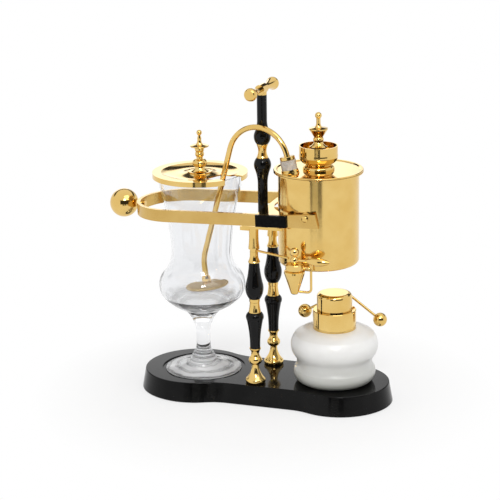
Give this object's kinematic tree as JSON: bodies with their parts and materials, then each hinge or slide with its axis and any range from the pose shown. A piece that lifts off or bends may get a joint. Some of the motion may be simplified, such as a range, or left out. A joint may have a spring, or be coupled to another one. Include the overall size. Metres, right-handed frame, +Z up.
{
  "type": "siphon coffee maker",
  "caption": "Balancing siphon coffee maker: stemmed glass and gold kettle on a tilting beam, joined by a bent tube, with a spirit burner on a black base.",
  "frame": {"origin": "on the table, midway between the two columns, at the centre of the resting face", "axes": "+Z up, +X from the glass towards the kettle, -Y towards the front with the tap"},
  "size_m": [0.334, 0.1326, 0.3611],
  "materials": {
    "gold": "polished gold plate",
    "black_lacquer": "black gloss lacquer",
    "black_plastic": "satin black",
    "soft_pad": "matte foam",
    "clear_glass": "clear blown glass",
    "frosted_glass": "frosted white glass",
    "milky_silicone": "milky silicone",
    "filter_cloth": "woven cloth",
    "wick_cotton": "braided cotton",
    "steel": "bright zinc plate"
  },
  "bodies": {
    "stand": {"base_plate": "black_lacquer", "base_pad": "soft_pad", "base_nuts": "steel", "tie_rods": "steel", "front_foot_bell": "gold", "front_foot_vase": "gold", "front_lower_baluster": "black_lacquer", "front_mid_ferrule": "gold", "front_upper_baluster": "black_lacquer", "front_top_ferrule": "gold", "front_column_head": "gold", "rear_foot_bell": "gold", "rear_foot_vase": "gold", "rear_lower_baluster": "black_lacquer", "rear_mid_ferrule": "gold", "rear_upper_baluster": "black_lacquer", "rear_top_ferrule": "gold", "rear_column_head": "gold", "bridge_plate": "gold", "pivot_pins": "gold", "pole_bolt": "steel", "pole_lower": "black_lacquer", "pole_ferrule": "gold", "pole_upper": "black_lacquer", "carry_handle": "gold", "glass_vessel": "clear_glass"},
    "beam": {"beam_ring": "gold", "front_fork_arm": "gold", "rear_fork_arm": "gold", "front_bearing_block": "black_plastic", "rear_bearing_block": "black_plastic", "yoke_plate": "gold", "counterweight_stud": "gold", "counterweight_ball": "gold"},
    "kettle": {"kettle_body": "gold", "kettle_top": "gold", "kettle_bosses": "gold", "trunnion_screws": "gold", "filler_cup": "gold", "tube_socket": "gold", "tube_bung": "milky_silicone", "tube_nut": "gold", "siphon_tube": "gold", "filter_nut": "gold", "filter_disc": "filter_cloth", "tap_body": "gold", "tap_loop": "gold"},
    "stopper": {"filler_plug": "gold", "filler_seal": "milky_silicone"},
    "tap_key": {"tap_key": "gold"},
    "lid": {"lid_plate": "gold", "lid_knob": "gold"},
    "burner": {"burner_jar": "frosted_glass", "burner_collar": "gold", "wick_tube": "gold", "wick": "wick_cotton", "snuffer_pin": "steel"},
    "snuffer": {"snuffer_cap": "gold", "snuffer_lever": "gold"},
    "stay": {"stay_rod": "gold"}
  },
  "joints": [
    {"name": "beam_tilt", "type": "hinge", "parent": "stand", "child": "beam", "pos_m": [0.026, 0, 0.2165], "axis": [0, -1, 0], "range_deg": [-6, 3]},
    {"name": "kettle_hang", "type": "hinge", "parent": "beam", "child": "kettle", "pos_m": [0.065, 0, 0.22369], "axis": [0, -1, 0], "range_deg": [-3, 6]},
    {"name": "stopper_lift", "type": "slide", "parent": "kettle", "child": "stopper", "axis": [0, 0, 1], "range_m": [0, 0.045]},
    {"name": "tap_turn", "type": "hinge", "parent": "kettle", "child": "tap_key", "pos_m": [0.05443, -0.05703, 0.16899], "axis": [0, 0, -1], "range_deg": [0, 90]},
    {"name": "lid_lift", "type": "slide", "parent": "stand", "child": "lid", "axis": [0, 0, 1], "range_m": [0, 0.04]},
    {"name": "burner_slide", "type": "slide", "parent": "stand", "child": "burner", "axis": [1, 0, 0], "range_m": [0, 0.06]},
    {"name": "snuffer_open", "type": "hinge", "parent": "burner", "child": "snuffer", "pos_m": [0.08325, 0.023, 0.1102], "axis": [-1, 0, 0], "range_deg": [0, 90]},
    {"name": "stay_swing", "type": "hinge", "parent": "stand", "child": "stay", "pos_m": [0, -0.03335, 0.1787], "axis": [0, 0, -1], "range_deg": [0, 75]}
  ],
  "couplings": [
    {"joint": "kettle_hang", "follows": "beam_tilt", "ratio": -1}
  ]
}
